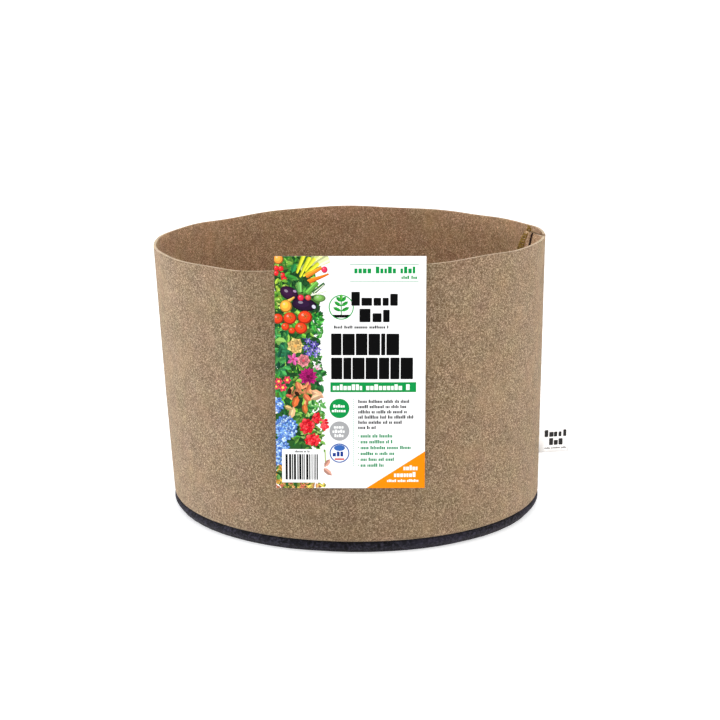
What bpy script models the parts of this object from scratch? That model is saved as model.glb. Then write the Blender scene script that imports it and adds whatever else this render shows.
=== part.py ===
"""A fabric grow bag: a felt wall sewn to a felt base, with a sewn-in tag and a hang-on label card.

Blender 4.5, metres, +Z up. The origin is the centre of the base's underside. The side seam is at +X, and the
label card hangs on the -Y side.
"""

import math

import bmesh
import bpy
from mathutils import Matrix, Vector

# Overall sizes
BASE_DIAMETER = 0.4064
BAG_HEIGHT = 0.295
MOUTH_SPREAD = 0.020  # how much longer the mouth's long axis, along X, is than the base's diameter
MOUTH_SHIFT = -0.008  # how far the mouth's centre leans off the base's centre, along X
MOUTH_RISE = 0.0085  # how much higher the mouth stands at +X than at -X
FELT = 0.003
GAP = 0.0003  # between pieces that touch

# Base seam: the base slopes up, curls in, and its flange lies face to face with the wall's turned-in foot
CURL_HEIGHT = 0.012
CURL_SLOPE = math.radians(52)
CURL_BEND = 0.0022
FLOOR_BEND = 0.003
FLANGE = 0.014  # how far both flanges reach in from the wall's middle surface
FOOT_BEND = 0.003

# Side seam: both ends of the wall turn in and lie face to face as a flap
SEAM_ANGLE = math.radians(-7)
FLAP_LENGTH = 0.034
FLAP_LEAN_LOW = math.radians(15)  # from straight in, towards the back
FLAP_LEAN_HIGH = math.radians(58)
FLAP_TWIST_POWER = 8  # the higher, the nearer the mouth the flap twists over
FLAP_FOOT = 0.022  # the flap starts above the base seam
SEAM_BEND = 0.0022

# Threads
THREAD_RADIUS = 0.0005
BASE_STITCH_INSET = 0.006  # from the flanges' inner edge
FLAP_STITCH_REACH = 0.018  # from the seam, along the flap
THREAD_TAIL = 0.008  # what the edge thread leaves standing above the mouth

# Sewn-in tag
TAG_LENGTH = 0.030
TAG_HEIGHT = 0.030
TAG_THICKNESS = 0.0008
TAG_CENTRE_Z = 0.072
TAG_TILT = math.radians(6)
TAG_ROOT_DEPTH = 0.014
TAG_PIVOT_OUT = 0.0025  # from the felt's outer face to the line the tag flaps about

# Label card and the paper hook that hangs it over the mouth's edge
CARD_WIDTH = 0.150
CARD_HEIGHT = 0.236
CARD_THICKNESS = 0.0006
CARD_ABOVE_RIM = 0.011
CARD_SHIFT = 0.002  # from the mouth's middle, along X
HOOK_WIDTH = 0.040
HOOK_THICKNESS = 0.0004
HOOK_LEG = 0.045
HOOK_TAB = 0.007
CREASE_RISE = 0.001  # from the hook's top to the crease the card swings on

# Mesh fineness
AROUND = 72
WALL_LIFTS = (0.25, 0.5, 0.7, 0.8, 0.87, 0.92, 0.96, 1.0)
BEND_STEPS = 6
FOOT_STEPS = 3
CURL_STEPS = 6
THREAD_SIDES = 6
SMOOTH_BELOW = math.radians(35)
MERGE_BELOW = 0.00001

# Worked out from the sizes above
BASE_RADIUS = BASE_DIAMETER / 2
FOOT_RADIUS = BASE_RADIUS - FELT / 2
MOUTH_A = FOOT_RADIUS + MOUTH_SPREAD / 2
# The wall is one straight strip, so its mouth has the same girth as its foot.
MOUTH_B = math.sqrt(2 * FOOT_RADIUS**2 - MOUTH_A**2)
FLANGE_EDGE = FOOT_RADIUS - FLANGE
FLANGE_Z = CURL_HEIGHT + GAP + FELT / 2
FOOT_Z = FLANGE_Z + FOOT_BEND
SLOT = TAG_THICKNESS + 2 * GAP  # between the flap's two layers
LAYER_OFFSET = (FELT + SLOT) / 2

FINISHES = {
    "felt_tan": ((0.42, 0.31, 0.21), 0.95),
    "felt_charcoal": ((0.045, 0.045, 0.06), 0.95),
    "thread_gold": ((0.45, 0.33, 0.10), 0.7),
    "tag_white": ((0.86, 0.86, 0.85), 0.8),
    "card_print": ((0.9, 0.9, 0.9), 0.45),
    "hook_paper": ((0.78, 0.76, 0.72), 0.7),
}


def clear_scene():
    for obj in list(bpy.data.objects):
        bpy.data.objects.remove(obj)


def make_materials():
    made = {}
    for name, (colour, roughness) in FINISHES.items():
        material = bpy.data.materials.new(name)
        material.use_nodes = True
        shader = material.node_tree.nodes["Principled BSDF"]
        shader.inputs["Base Color"].default_value = (*colour, 1)
        shader.inputs["Roughness"].default_value = roughness
        shader.inputs["Metallic"].default_value = 0
        made[name] = material
    return made


def add_object(name, data, material, collection, parent=None):
    obj = bpy.data.objects.new(name, data)
    collection.objects.link(obj)
    obj.data.materials.append(material)
    obj.parent = parent
    return obj


def mesh_from(name, build):
    mesh = bpy.data.meshes.new(name)
    shape = bmesh.new()
    build(shape)
    shape.to_mesh(mesh)
    shape.free()
    return mesh


def shade(obj):
    obj.data.shade_smooth()
    obj.data.set_sharp_from_angle(angle=SMOOTH_BELOW)


def solidify(obj, thickness):
    modifier = obj.modifiers.new("thickness", "SOLIDIFY")
    modifier.thickness = thickness
    modifier.offset = 0
    modifier.use_even_offset = True
    modifier.use_rim = True


# The wall's middle surface: a ruled surface from the round foot to the oval mouth


def wall_axes(lift):
    a = FOOT_RADIUS + lift * (MOUTH_A - FOOT_RADIUS)
    b = FOOT_RADIUS + lift * (MOUTH_B - FOOT_RADIUS)
    return a, b


def rim_height(angle):
    return BAG_HEIGHT + MOUTH_RISE / 2 * math.cos(angle)


def wall_point(angle, lift):
    a, b = wall_axes(lift)
    z = FOOT_Z + lift * (rim_height(angle) - FOOT_Z)
    return Vector((MOUTH_SHIFT * lift + a * math.cos(angle), b * math.sin(angle), z))


def wall_tangent(angle, lift):
    a, b = wall_axes(lift)
    return Vector((-a * math.sin(angle), b * math.cos(angle), 0)).normalized()


def wall_inward(angle, lift):
    tangent = wall_tangent(angle, lift)
    return Vector((-tangent.y, tangent.x, 0))


def seam_point(lift, along, inward):
    """A point near the side seam, moved along the wall (towards the back) and inward of its middle."""
    tangent = wall_tangent(SEAM_ANGLE, lift)
    normal = wall_inward(SEAM_ANGLE, lift)
    return wall_point(SEAM_ANGLE, lift) + tangent * along + normal * inward


def lift_at(z):
    return (z - FOOT_Z) / (rim_height(SEAM_ANGLE) - FOOT_Z)


def flap_lean(lift):
    return FLAP_LEAN_LOW + (FLAP_LEAN_HIGH - FLAP_LEAN_LOW) * lift**FLAP_TWIST_POWER


def flap_vectors(lift):
    """Along the flap to its free edge, and out of its front face, each as (along the wall, inward)."""
    lean = flap_lean(lift)
    return Vector((math.sin(lean), math.cos(lean))), Vector((-math.cos(lean), math.sin(lean)))


def flap_point(lift, reach, forward=0):
    """A point on the flap's middle plane, a reach from the seam and a distance out of its front."""
    direction, front = flap_vectors(lift)
    place = direction * reach + front * forward
    return seam_point(lift, place.x, place.y)


def seam_layer(side, lift):
    """One layer of the flap in the seam's own plane, from the wall round its bend to the free edge.

    side is -1 for the layer that comes from the front of the bag and 1 for the one from the back. Each
    point is (along the wall, inward).
    """
    direction, front = flap_vectors(lift)
    start = front * (-side * LAYER_OFFSET)
    corner = start - direction * (start.y / direction.y)
    turn = math.pi / 2 + side * flap_lean(lift)
    tangent_length = SEAM_BEND * math.tan(turn / 2)
    first = corner + Vector((side * tangent_length, 0))
    centre = first + Vector((0, SEAM_BEND))
    points = []
    for step in range(BEND_STEPS + 1):
        swept = turn * step / BEND_STEPS
        arm = Vector((-side * math.sin(swept), -math.cos(swept))) * SEAM_BEND
        points.append(centre + arm)
    points.append(start + direction * FLAP_LENGTH)
    return points


FLAP_LIFTS = (lift_at(FLAP_FOOT), *WALL_LIFTS)


def build_wall(materials, collection):
    """The felt strip: an inward flange at its foot, the wall, and both ends turned in as the seam's flap."""
    def angle_at(i, lift):
        """The wall's columns run from the flap's back layer round to its front one."""
        _, b = wall_axes(lift)
        first = seam_layer(1, lift)[0].x / b
        last = 2 * math.pi + seam_layer(-1, lift)[0].x / b
        return SEAM_ANGLE + first + (last - first) * i / AROUND

    def flange_row(inset, z):
        places = [wall_point(angle_at(i, 0), 0) + wall_inward(angle_at(i, 0), 0) * inset for i in columns]
        return [Vector((p.x, p.y, z)) for p in places]

    columns = range(AROUND + 1)
    rows = [flange_row(FLANGE, FLANGE_Z)]
    for step in range(FOOT_STEPS):
        turn = math.pi / 2 * step / FOOT_STEPS
        inset = FOOT_BEND * (1 - math.sin(turn))
        rows.append(flange_row(inset, FLANGE_Z + FOOT_BEND * (1 - math.cos(turn))))
    rows += [[wall_point(angle_at(i, lift), lift) for i in columns] for lift in (0, *FLAP_LIFTS)]

    def build(shape):
        grid = [[shape.verts.new(place) for place in row] for row in rows]
        for low, high in zip(grid, grid[1:]):
            for i in range(AROUND):
                shape.faces.new((low[i], low[i + 1], high[i + 1], high[i]))
        flap_rows = grid[-len(FLAP_LIFTS):]
        for side, edge, forward in ((1, 0, False), (-1, AROUND, True)):
            strips = []
            for lift, row in zip(FLAP_LIFTS, flap_rows):
                ends = [shape.verts.new(seam_point(lift, p.x, p.y)) for p in seam_layer(side, lift)[1:]]
                strips.append([row[edge], *ends])
            for low, high in zip(strips, strips[1:]):
                for i in range(len(low) - 1):
                    corners = (low[i], low[i + 1], high[i + 1], high[i])
                    shape.faces.new(corners if forward else corners[::-1])

    wall = add_object("side_wall", mesh_from("side_wall", build), materials["felt_tan"], collection)
    solidify(wall, FELT)
    shade(wall)


def build_base(materials, collection):
    """The charcoal disc: its edge slopes up from the floor and curls in to the flange it is sewn by."""
    top = CURL_HEIGHT - FELT / 2
    curl_centre = Vector((FOOT_RADIUS - CURL_BEND, top - CURL_BEND))
    slope_top = curl_centre + CURL_BEND * Vector((math.sin(CURL_SLOPE), -math.cos(CURL_SLOPE)))
    slope_bottom_z = FELT / 2 + FLOOR_BEND * (1 - math.cos(CURL_SLOPE))
    slope_bottom_x = slope_top.x - (slope_top.y - slope_bottom_z) / math.tan(CURL_SLOPE)
    flat_edge = slope_bottom_x - FLOOR_BEND * math.sin(CURL_SLOPE)

    profile = [(FLANGE_EDGE, top)]
    for step in range(CURL_STEPS + 1):
        turn = math.pi - (math.pi - CURL_SLOPE) * step / CURL_STEPS
        profile.append(curl_centre + CURL_BEND * Vector((math.sin(turn), -math.cos(turn))))
    for step in range(FOOT_STEPS + 1):
        turn = CURL_SLOPE * (1 - step / FOOT_STEPS)
        rise = FLOOR_BEND * (1 - math.cos(turn))
        profile.append((flat_edge + FLOOR_BEND * math.sin(turn), FELT / 2 + rise))
    profile.append((0, FELT / 2))

    def build(shape):
        verts = [shape.verts.new((x, 0, z)) for x, z in profile]
        for a, b in zip(verts, verts[1:]):
            shape.edges.new((a, b))

    base = add_object("base_panel", mesh_from("base_panel", build), materials["felt_charcoal"], collection)
    screw = base.modifiers.new("turn", "SCREW")
    screw.steps = screw.render_steps = AROUND
    screw.use_merge_vertices = True
    screw.merge_threshold = MERGE_BELOW
    solidify(base, FELT)
    shade(base)


def build_ring(name, radius, z, materials, collection):
    bpy.ops.mesh.primitive_torus_add(
        major_radius=radius,
        minor_radius=THREAD_RADIUS,
        major_segments=AROUND,
        minor_segments=THREAD_SIDES,
        location=(0, 0, z),
    )
    ring = bpy.context.object
    ring.name = ring.data.name = name
    for owner in list(ring.users_collection):
        owner.objects.unlink(ring)
    collection.objects.link(ring)
    ring.data.materials.append(materials["thread_gold"])
    shade(ring)


def build_thread(name, points, materials, collection):
    curve = bpy.data.curves.new(name, "CURVE")
    curve.dimensions = "3D"
    curve.bevel_depth = THREAD_RADIUS
    curve.bevel_resolution = 2
    curve.use_fill_caps = True
    spline = curve.splines.new("POLY")
    spline.points.add(len(points) - 1)
    for point, place in zip(spline.points, points):
        point.co = (*place, 1)
    add_object(name, curve, materials["thread_gold"], collection)


def build_threads(materials, collection):
    on_flange = FLANGE_Z + FELT / 2 + GAP + THREAD_RADIUS
    build_ring("base_stitch_thread", FLANGE_EDGE + BASE_STITCH_INSET, on_flange, materials, collection)
    clear_of_edge = FLANGE_EDGE - 2 * GAP - THREAD_RADIUS
    build_ring("base_edge_thread", clear_of_edge, CURL_HEIGHT + GAP / 2, materials, collection)

    off_face = LAYER_OFFSET + FELT / 2 + GAP + THREAD_RADIUS
    stitches = [flap_point(lift, FLAP_STITCH_REACH, off_face) for lift in FLAP_LIFTS]
    build_thread("side_stitch_thread", stitches, materials, collection)
    run = [flap_point(lift, FLAP_LENGTH + GAP + THREAD_RADIUS) for lift in FLAP_LIFTS]
    run.append(run[-1] + Vector((0, 0, THREAD_TAIL)))
    build_thread("side_edge_thread", run, materials, collection)


def build_strip(name, near_path, far_path, thickness, material, collection, parent=None):
    """A flat strip stretched between two edges that have the same number of points."""
    def build(shape):
        near = [shape.verts.new(p) for p in near_path]
        far = [shape.verts.new(p) for p in far_path]
        for i in range(len(near) - 1):
            shape.faces.new((near[i], near[i + 1], far[i + 1], far[i]))

    strip = add_object(name, mesh_from(name, build), material, collection, parent)
    solidify(strip, thickness)


def build_box(name, low, high, material, collection, parent=None):
    """A box between two corners in its parent's frame."""
    def build(shape):
        size = Matrix.Diagonal((*(high - low), 1))
        bmesh.ops.create_cube(shape, size=1, matrix=Matrix.Translation((low + high) / 2) @ size)

    return add_object(name, mesh_from(name, build), material, collection, parent)


def build_tag(materials, collection):
    """The folded tag: its root is caught in the side seam, and its free part flaps about a standing line."""
    half_height = TAG_HEIGHT / 2
    lift = lift_at(TAG_CENTRE_Z)
    outward = -wall_inward(SEAM_ANGLE, lift)
    out_of_felt = FELT / 2 + TAG_PIVOT_OUT
    edges = []
    for z in (TAG_CENTRE_Z - half_height, TAG_CENTRE_Z + half_height):
        place = lift_at(z)
        inside = [flap_point(place, TAG_ROOT_DEPTH * share) for share in (1, 0.5, 0)]
        edges.append([*inside, seam_point(place, 0, GAP - out_of_felt)])
    bottom_path, top_path = edges
    build_strip("seam_tag_root", bottom_path, top_path, TAG_THICKNESS, materials["tag_white"], collection)

    pivot = bpy.data.objects.new("tag_pivot", None)
    collection.objects.link(pivot)
    pivot.location = wall_point(SEAM_ANGLE, lift) + outward * out_of_felt
    pivot.rotation_euler = (0, 0, math.atan2(outward.y, outward.x))
    low = Vector((2 * GAP, -TAG_THICKNESS / 2, -half_height))
    high = Vector((2 * GAP + TAG_LENGTH, TAG_THICKNESS / 2, half_height))
    tag = build_box("seam_tag", low, high, materials["tag_white"], collection, pivot)
    # The tag's free end rides up: each point is raised by its distance from the pivot.
    for vertex in tag.data.vertices:
        vertex.co.z += (vertex.co.x - 2 * GAP) * math.tan(TAG_TILT)


def build_card(materials, collection):
    """The printed card, which swings on the crease of a paper hook that sits on the mouth's edge."""
    front_y = -(MOUTH_B + FELT / 2)
    lean = math.atan2(BASE_RADIUS + front_y, BAG_HEIGHT - FOOT_Z)
    frame = bpy.data.objects.new("label_frame", None)
    collection.objects.link(frame)
    # Local Y points into the bag, and local Z up along the leaning wall, from the mouth's outer edge.
    frame.location = (MOUTH_SHIFT + CARD_SHIFT, front_y, BAG_HEIGHT)
    frame.rotation_euler = (-lean, 0, 0)

    half_hook = HOOK_WIDTH / 2
    hook_reach = half_hook + abs(CARD_SHIFT)
    wall_sag = hook_reach**2 * MOUTH_B / (2 * MOUTH_A**2)
    rim_slope = MOUTH_RISE / 2 / MOUTH_A * hook_reach
    top = GAP + rim_slope + HOOK_THICKNESS / 2
    inner = FELT + wall_sag + 2 * GAP + HOOK_THICKNESS / 2
    hook_path = [Vector((0, 0, top)), Vector((0, inner, top)), Vector((0, inner, -HOOK_LEG))]
    left_edge = [p - Vector((half_hook, 0, 0)) for p in hook_path]
    right_edge = [p + Vector((half_hook, 0, 0)) for p in hook_path]
    paper = materials["hook_paper"]
    build_strip("label_hook", left_edge, right_edge, HOOK_THICKNESS, paper, collection, frame)

    pivot = bpy.data.objects.new("label_pivot", None)
    collection.objects.link(pivot)
    pivot.parent = frame
    # The card's top clears the mouth's edge when the card stands straight out.
    card_rim = MOUTH_RISE / 2 / MOUTH_A * (CARD_WIDTH / 2 + abs(CARD_SHIFT))
    card_dip = CARD_ABOVE_RIM * math.tan(lean)
    crease_z = max(top + HOOK_THICKNESS / 2 + CREASE_RISE, card_rim + card_dip + 2 * GAP)
    pivot.location = (0, -GAP, crease_z)
    card_top = CARD_ABOVE_RIM - crease_z
    build_box(
        "label_card",
        Vector((-CARD_WIDTH / 2, -CARD_THICKNESS, card_top - CARD_HEIGHT)),
        Vector((CARD_WIDTH / 2, 0, card_top)),
        materials["card_print"],
        collection,
        pivot,
    )
    build_box(
        "label_hook_tab",
        Vector((-half_hook, GAP, GAP)),
        Vector((half_hook, GAP + HOOK_THICKNESS, HOOK_TAB)),
        paper,
        collection,
        pivot,
    )


def main():
    clear_scene()
    collection = bpy.data.collections.new("fabric_grow_bag")
    bpy.context.scene.collection.children.link(collection)
    materials = make_materials()
    build_wall(materials, collection)
    build_base(materials, collection)
    build_threads(materials, collection)
    build_tag(materials, collection)
    build_card(materials, collection)


main()
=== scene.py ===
"""The looks of a felt grow bag: felt wall and base, sewn threads, woven tag and printed card.

Everything is in metres in the frame's own axes: +Z up, the side seam near +X and the card on the -Y side.
"""

import math
import random

import bmesh
import bpy
from mathutils import Matrix, Vector, noise
from mathutils.geometry import delaunay_2d_cdt


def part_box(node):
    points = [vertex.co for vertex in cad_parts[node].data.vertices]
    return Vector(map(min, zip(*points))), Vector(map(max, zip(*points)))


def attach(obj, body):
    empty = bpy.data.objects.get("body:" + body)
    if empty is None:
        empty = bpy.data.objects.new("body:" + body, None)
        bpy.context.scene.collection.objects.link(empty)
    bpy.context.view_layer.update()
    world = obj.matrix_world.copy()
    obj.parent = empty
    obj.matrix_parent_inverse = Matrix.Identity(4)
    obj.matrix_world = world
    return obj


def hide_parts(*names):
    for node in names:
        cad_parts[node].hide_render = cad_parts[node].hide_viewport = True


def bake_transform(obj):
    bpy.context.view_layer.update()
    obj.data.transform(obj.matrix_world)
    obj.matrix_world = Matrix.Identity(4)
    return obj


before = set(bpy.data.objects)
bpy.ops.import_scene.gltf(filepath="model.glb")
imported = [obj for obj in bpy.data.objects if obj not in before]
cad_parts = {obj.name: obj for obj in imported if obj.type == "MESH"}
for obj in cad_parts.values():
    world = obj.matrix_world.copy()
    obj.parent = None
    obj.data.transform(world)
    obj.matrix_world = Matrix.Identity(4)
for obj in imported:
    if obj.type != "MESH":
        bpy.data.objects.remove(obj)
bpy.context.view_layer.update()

MM = 0.001

# Sizes of the real pieces, as the frame was built with them
FELT = 3 * MM
GAP = 0.3 * MM
SEAM_ANGLE = math.radians(-7)
FLANGE = 14 * MM
FOOT_BEND = 3 * MM
FLAP_LENGTH = 34 * MM
FLAP_LEAN_LOW = math.radians(15)
FLAP_LEAN_HIGH = math.radians(58)
FLAP_TWIST_POWER = 8
SEAM_BEND = 2.2 * MM
TAG_THICKNESS = 0.8 * MM
SLOT = TAG_THICKNESS + 2 * GAP
LAYER_OFFSET = (FELT + SLOT) / 2
BAG_HEIGHT = 295 * MM
MOUTH_RISE = 8.5 * MM
FLAP_FOOT = 22 * MM
CURL_SLOPE = math.radians(52)
CURL_BEND = 2.2 * MM
FLOOR_BEND = 3 * MM
BASE_STITCH_INSET = 6 * MM
FLAP_STITCH_REACH = 18 * MM
TAG_LENGTH = 30 * MM
TAG_HEIGHT = 30 * MM
TAG_CENTRE_Z = 72 * MM
TAG_TILT = math.radians(6)
TAG_ROOT_DEPTH = 14 * MM
TAG_PIVOT_OUT = 2.5 * MM
TAG_LAYER = 0.32 * MM  # the ribbon's own thickness
TAG_FOLD = 0.42 * MM  # half the distance between its two layers
CARD_WIDTH = 150 * MM
CARD_HEIGHT = 236 * MM
CARD_THICKNESS = 0.6 * MM
CARD_BOW = 1.4 * MM  # how far its lower corners bend back
CARD_ABOVE_RIM = 11 * MM
CARD_SHIFT = 2 * MM
HOOK_WIDTH = 40 * MM
HOOK_THICKNESS = 0.4 * MM
HOOK_LEG = 45 * MM
HOOK_TAB = 7 * MM
CREASE_RISE = 1 * MM

# Read from the frame
wall_low, wall_high = (Vector(corner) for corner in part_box("side_wall"))
base_low, base_high = (Vector(corner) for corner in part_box("base_panel"))
FOOT_RADIUS = (base_high.x - base_low.x) / 2 - FELT / 2
MOUTH_A = (wall_high.x - wall_low.x) / 2 - FELT / 2
MOUTH_B = math.sqrt(2 * FOOT_RADIUS**2 - MOUTH_A**2)
MOUTH_SHIFT = (wall_high.x + wall_low.x) / 2
CURL_HEIGHT = base_high.z
FLANGE_Z = CURL_HEIGHT + GAP + FELT / 2
FOOT_Z = FLANGE_Z + FOOT_BEND
FLANGE_EDGE = FOOT_RADIUS - FLANGE
FLAP_HALF = LAYER_OFFSET + FELT / 2  # half of the seam flap's thickness

# How the felt hangs: the mouth's edge sags at the front left, and the wall ripples more the higher it is
FRONT = -math.pi / 2
SAG = 5.6 * MM
SAG_ANGLE = math.radians(-128)
SAG_SPREAD = math.radians(30)
BACK_RISE = 6.5 * MM
BACK_ANGLE = math.radians(93)
BACK_SPREAD = math.radians(22)
FOLDS = (  # where the bag was folded flat: angle, how far it stands out, and half its width in radians
    (math.radians(-122), 4.0 * MM, 0.25),
    (math.radians(-38), 2.2 * MM, 0.28),
    (math.radians(55), 3.5 * MM, 0.3),
    (math.radians(142), 3.0 * MM, 0.3),
)
FOLD_ROUNDING = 0.03  # radians
RIPPLE = 1.2 * MM
WAVER = 0.4 * MM
PILE = 0.22 * MM  # how rough the felt's face is
PUCKER = 0.25 * MM  # how far the base's gathers stand out
FLOOR_RISE = 1.2 * MM  # how far the base's floor lifts off the ground
HELD_BY_SEAM = (0.05, 0.35)  # from which angle off the seam the felt starts to move, and where it is free
HELD_BY_HOOK = (0.13, 0.36)
HELD_BY_CARD = (0.42, 0.8)

# The sewing: how far apart stitches and loops are, and the radius of each thread
BASE_STITCH_PITCH = 5 * MM
BASE_STITCH_RADIUS = 0.45 * MM
BASE_LOOP_PITCH = 4 * MM
BASE_LOOP_WIDTH = 5 * MM
BASE_LOOP_RADIUS = 0.4 * MM
SIDE_STITCH_PITCH = 4.5 * MM
SIDE_STITCH_RADIUS = 1.3 * MM
SIDE_LOOP_PITCH = 2.6 * MM
SIDE_LOOP_WIDTH = 8 * MM
SIDE_LOOP_RADIUS = 0.7 * MM
NEEDLE_THREAD_RADIUS = 0.55 * MM
EDGE_CHAIN_RADIUS = 0.85 * MM
TAIL_RADIUS = 1 * MM
TAIL_HEIGHT = 5.5 * MM
TAIL_CURL = 3.2 * MM
THREAD_OFF_FELT = 0.35 * MM  # from the felt's face to the middle of a loop's thread
LOOP_PAST_EDGE = 0.5 * MM
STITCH_DIP = 0.6 * MM  # how deep a stitch goes in at its needle hole
STITCH_ARCH = 0.5 * MM  # how far out its middle stands

# Mesh fineness
WALL_COLUMNS = 420
WALL_ROWS = 92
FOOT_ROWS = 3
FOOT_BEND_STEPS = 4
FLAP_COLUMNS = 10
BEND_STEPS = 6
BASE_COLUMNS = 300
BASE_RINGS = 26
CURL_STEPS = 8
FLOOR_BEND_STEPS = 4
STITCH_STEPS = 6
CARD_COLUMNS = 8
TAG_COLUMNS = 76
TAG_FOLD_STEPS = 8
HOOK_COLUMNS = 8

random.seed(7)


def smoothstep(low, high, value):
    t = min(max((value - low) / (high - low), 0.0), 1.0)
    return t * t * (3 - 2 * t)


# ---------------------------------------------------------------- materials


def fill_inputs(tree, made, inputs):
    """Links each named input of a node to another node's output, or sets it to a value."""
    for key, value in inputs.items():
        if isinstance(value, bpy.types.NodeSocket):
            tree.links.new(value, made.inputs[key])
        else:
            made.inputs[key].default_value = value


def node(tree, kind, inputs=None, **settings):
    made = tree.nodes.new("ShaderNode" + kind)
    for key, value in settings.items():
        setattr(made, key, value)
    fill_inputs(tree, made, inputs or {})
    return made


def math_of(tree, operation, a, b):
    return node(tree, "Math", {0: a, 1: b}, operation=operation).outputs[0]


def vector_of(tree, operation, *values):
    return node(tree, "VectorMath", dict(enumerate(values)), operation=operation).outputs[0]


def scaled(tree, vector, scale):
    return node(tree, "VectorMath", {0: vector, "Scale": scale}, operation="SCALE").outputs[0]


def mix(tree, factor, a, b, blend="MIX"):
    made = node(tree, "Mix", {0: factor, 6: a, 7: b}, data_type="RGBA", blend_type=blend)
    return made.outputs[2]


def remap(tree, value, low, high, to_low=0.0, to_high=1.0, kind="LINEAR"):
    inputs = {"Value": value, "From Min": low, "From Max": high, "To Min": to_low, "To Max": to_high}
    return node(tree, "MapRange", inputs, interpolation_type=kind).outputs[0]


def ramp(tree, value, low, high):
    """0 at low, 1 at high, and smooth between."""
    return remap(tree, value, low, high, kind="SMOOTHSTEP")


def overlay(tree, tone, over, mask, low, high, strength):
    """Lays one colour over another: none where the mask is low, full strength where it is high."""
    return mix(tree, math_of(tree, "MULTIPLY", ramp(tree, mask, low, high), strength), tone, over)


def shaded(tree, tone, level):
    """The colour times a level of grey."""
    grey = node(tree, "CombineColor", {0: level, 1: level, 2: level}).outputs[0]
    return mix(tree, 1.0, tone, grey, "MULTIPLY")


def noise_of(tree, vector, scale, detail=2.0, roughness=0.5, distortion=0.0, kind="FBM"):
    inputs = {
        "Vector": vector,
        "Scale": scale,
        "Detail": detail,
        "Roughness": roughness,
        "Distortion": distortion,
    }
    return node(tree, "TexNoise", inputs, noise_type=kind).outputs[0]


def colour_noise(tree, vector, scale, detail):
    return node(tree, "TexNoise", {"Vector": vector, "Scale": scale, "Detail": detail}).outputs["Color"]


def bump_of(tree, height, distance, strength):
    return node(tree, "Bump", {"Height": height, "Distance": distance, "Strength": strength}).outputs[0]


def colour(red, green, blue):
    """Screen colour, 0 to 255 each, as the linear colour that a shader takes."""
    linear = []
    for value in (red, green, blue):
        share = value / 255
        linear.append(share / 12.92 if share <= 0.04045 else ((share + 0.055) / 1.055) ** 2.4)
    return (*linear, 1.0)


def new_material(name, roughness):
    material = bpy.data.materials.new(name)
    material.use_nodes = True
    tree = material.node_tree
    shader = tree.nodes["Principled BSDF"]
    shader.inputs["Roughness"].default_value = roughness
    return material, tree, shader


FIBRE_SWIRL = 6 * MM  # how far the fibres curl away from straight
HUE_SPREAD = 0.16  # how far the felt's tint wanders from patch to patch


def felt_material(name, middle, light, dark, warm, fleck=0.8, sheen=0.08, fineness=1.0):
    """Needled felt: matted fibres of three tones, thin and thick places, and a fuzzy face."""
    material, tree, shader = new_material(name, 0.95)
    place = scaled(tree, node(tree, "TexCoord").outputs["Object"], fineness)
    swirl = vector_of(tree, "SUBTRACT", colour_noise(tree, place, 260.0, 2.0), (0.5, 0.5, 0.5))
    curled = vector_of(tree, "ADD", place, scaled(tree, swirl, FIBRE_SWIRL))

    fibres = noise_of(tree, curled, 820.0, 1.0, 0.5, 0.3, "RIDGED_MULTIFRACTAL")
    fine_fibres = noise_of(tree, curled, 1500.0, 1.0, 0.5, 0.0, "RIDGED_MULTIFRACTAL")
    clumps = noise_of(tree, curled, 640.0, 3.0, 0.65)
    pits = noise_of(tree, curled, 900.0, 1.0)
    clouds = noise_of(tree, place, 90.0)
    patches = noise_of(tree, place, 26.0, 3.0, 0.55)

    tone = mix(tree, ramp(tree, clumps, 0.42, 0.58), dark, middle)
    tone = overlay(tree, tone, light, fibres, 0.95, 1.6, fleck)
    tone = overlay(tree, tone, light, fine_fibres, 1.0, 1.7, fleck * 0.8)
    tone = overlay(tree, tone, dark, pits, 0.55, 0.38, fleck)
    tone = overlay(tree, tone, warm, patches, 0.45, 0.75, 0.35)
    tone = shaded(tree, tone, remap(tree, clouds, 0.3, 0.7, 0.9, 1.1))
    spread, least = (HUE_SPREAD,) * 3, (1 - HUE_SPREAD / 2,) * 3
    hues = vector_of(tree, "MULTIPLY_ADD", colour_noise(tree, place, 34.0, 3.0), spread, least)
    depth = math_of(tree, "ADD", clumps, math_of(tree, "MULTIPLY", fibres, 0.35))
    depth = math_of(tree, "ADD", depth, math_of(tree, "MULTIPLY", fine_fibres, 0.2))
    fill_inputs(tree, shader, {
        "Base Color": mix(tree, 1.0, tone, hues, "MULTIPLY"),
        "Sheen Weight": sheen,
        "Sheen Roughness": 0.5,
        "Sheen Tint": FUZZ,
        "Specular IOR Level": 0.12,
        "Normal": bump_of(tree, depth, 1.1 * MM, 0.9),
    })
    return material


def thread_material(name, light, dark):
    """Spun thread: light and dark twists, slightly glossy."""
    material, tree, shader = new_material(name, 0.7)
    place = node(tree, "TexCoord").outputs["Object"]
    twists = noise_of(tree, place, 900.0, 1.0, 0.5, 1.0)
    wear = noise_of(tree, place, 120.0)
    tone = mix(tree, ramp(tree, twists, 0.35, 0.62), dark, light)
    fill_inputs(tree, shader, {
        "Base Color": overlay(tree, tone, dark, wear, 0.45, 0.7, 0.5),
        "Specular IOR Level": 0.25,
        "Normal": bump_of(tree, twists, 0.3 * MM, 0.6),
    })
    return material


def inked(tree, ground):
    """The ink that the mesh holds in its corners, over the ground's colour."""
    ink = node(tree, "Attribute", attribute_name="ink")
    return mix(tree, ink.outputs["Alpha"], ground, ink.outputs["Color"])


WEAVE_PITCH = 0.45 * MM
WAVE_PERIOD = math.pi / 10  # the length of one wave of the wave texture at scale 1


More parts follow.
